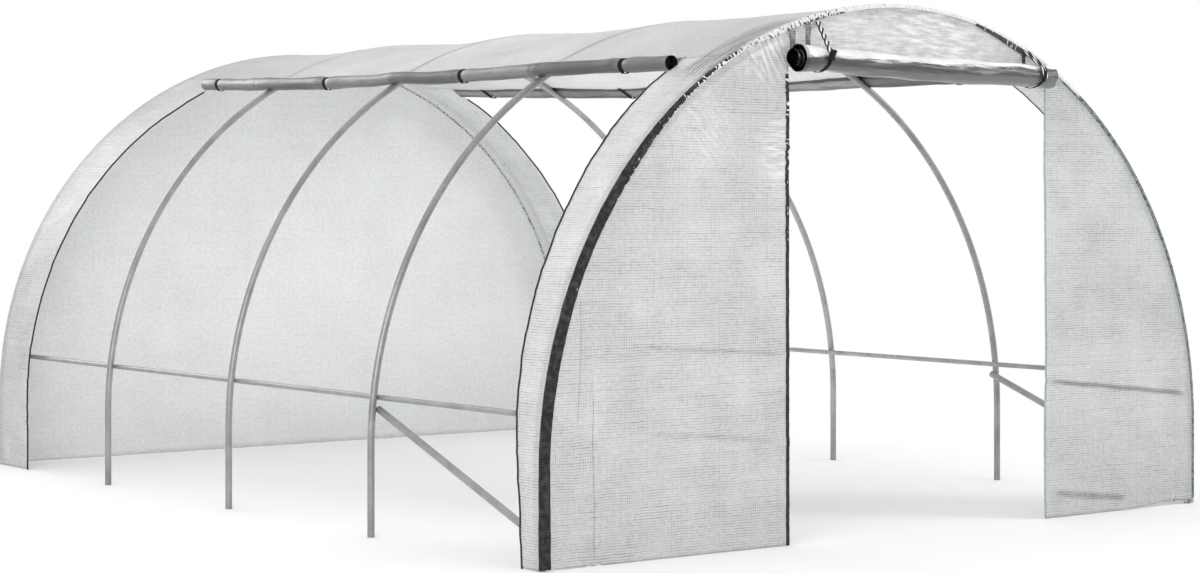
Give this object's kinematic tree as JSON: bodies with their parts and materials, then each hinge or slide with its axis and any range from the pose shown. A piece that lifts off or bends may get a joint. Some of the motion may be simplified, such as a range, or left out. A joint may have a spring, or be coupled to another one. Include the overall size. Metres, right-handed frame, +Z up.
{
  "type": "polytunnel greenhouse",
  "caption": "Walk-in polytunnel: bent-tube hoops under a woven sheet cover, with an open doorway, a rolled-up door curtain and rolled-up sides.",
  "frame": {"origin": "on the ground, at the middle of the whole footprint, door roll included", "axes": "+X across the tunnel to the right as seen from the doorway, +Y along the tunnel from the doorway to the closed end, +Z up"},
  "size_m": [3.003, 4.0895, 1.7999],
  "materials": {
    "hoop_tube": "galvanised steel tube, light grey",
    "rail_tube": "galvanised steel tube, light grey",
    "cover_sheet": "white translucent sheet with a woven reinforcing mesh",
    "rolled_sheet": "the same sheet rolled up in many layers, slightly shiny",
    "dark_tape": "black woven tape and zip",
    "tie_strap": "black webbing"
  },
  "bodies": {
    "root": {"brace_left": "rail_tube", "brace_right": "rail_tube", "door_roll": "rolled_sheet", "door_ties": "tie_strap", "door_zip_left": "dark_tape", "door_zip_right": "dark_tape", "front_arch_tape": "dark_tape", "front_gable": "cover_sheet", "front_wall_left": "cover_sheet", "front_wall_right": "cover_sheet", "hoop_fourth_crown": "hoop_tube", "hoop_fourth_left_leg": "hoop_tube", "hoop_fourth_right_leg": "hoop_tube", "hoop_front_crown": "hoop_tube", "hoop_front_left_leg": "hoop_tube", "hoop_front_right_leg": "hoop_tube", "hoop_middle_crown": "hoop_tube", "hoop_middle_left_leg": "hoop_tube", "hoop_middle_right_leg": "hoop_tube", "hoop_rear_crown": "hoop_tube", "hoop_rear_left_leg": "hoop_tube", "hoop_rear_right_leg": "hoop_tube", "hoop_second_crown": "hoop_tube", "hoop_second_left_leg": "hoop_tube", "hoop_second_right_leg": "hoop_tube", "rear_wall": "cover_sheet", "ridge_tube": "rail_tube", "roof_cover": "cover_sheet", "side_edging_front_left": "dark_tape", "side_edging_front_right": "dark_tape", "side_edging_rear_left": "dark_tape", "side_edging_rear_right": "dark_tape", "side_rail_left": "rail_tube", "side_rail_right": "rail_tube", "side_roll_left": "rolled_sheet", "side_roll_right": "rolled_sheet", "side_strip_front_left": "cover_sheet", "side_strip_front_right": "cover_sheet", "side_strip_rear_left": "cover_sheet", "side_strip_rear_right": "cover_sheet", "side_ties_left": "tie_strap", "side_ties_right": "tie_strap"}
  },
  "joints": []
}
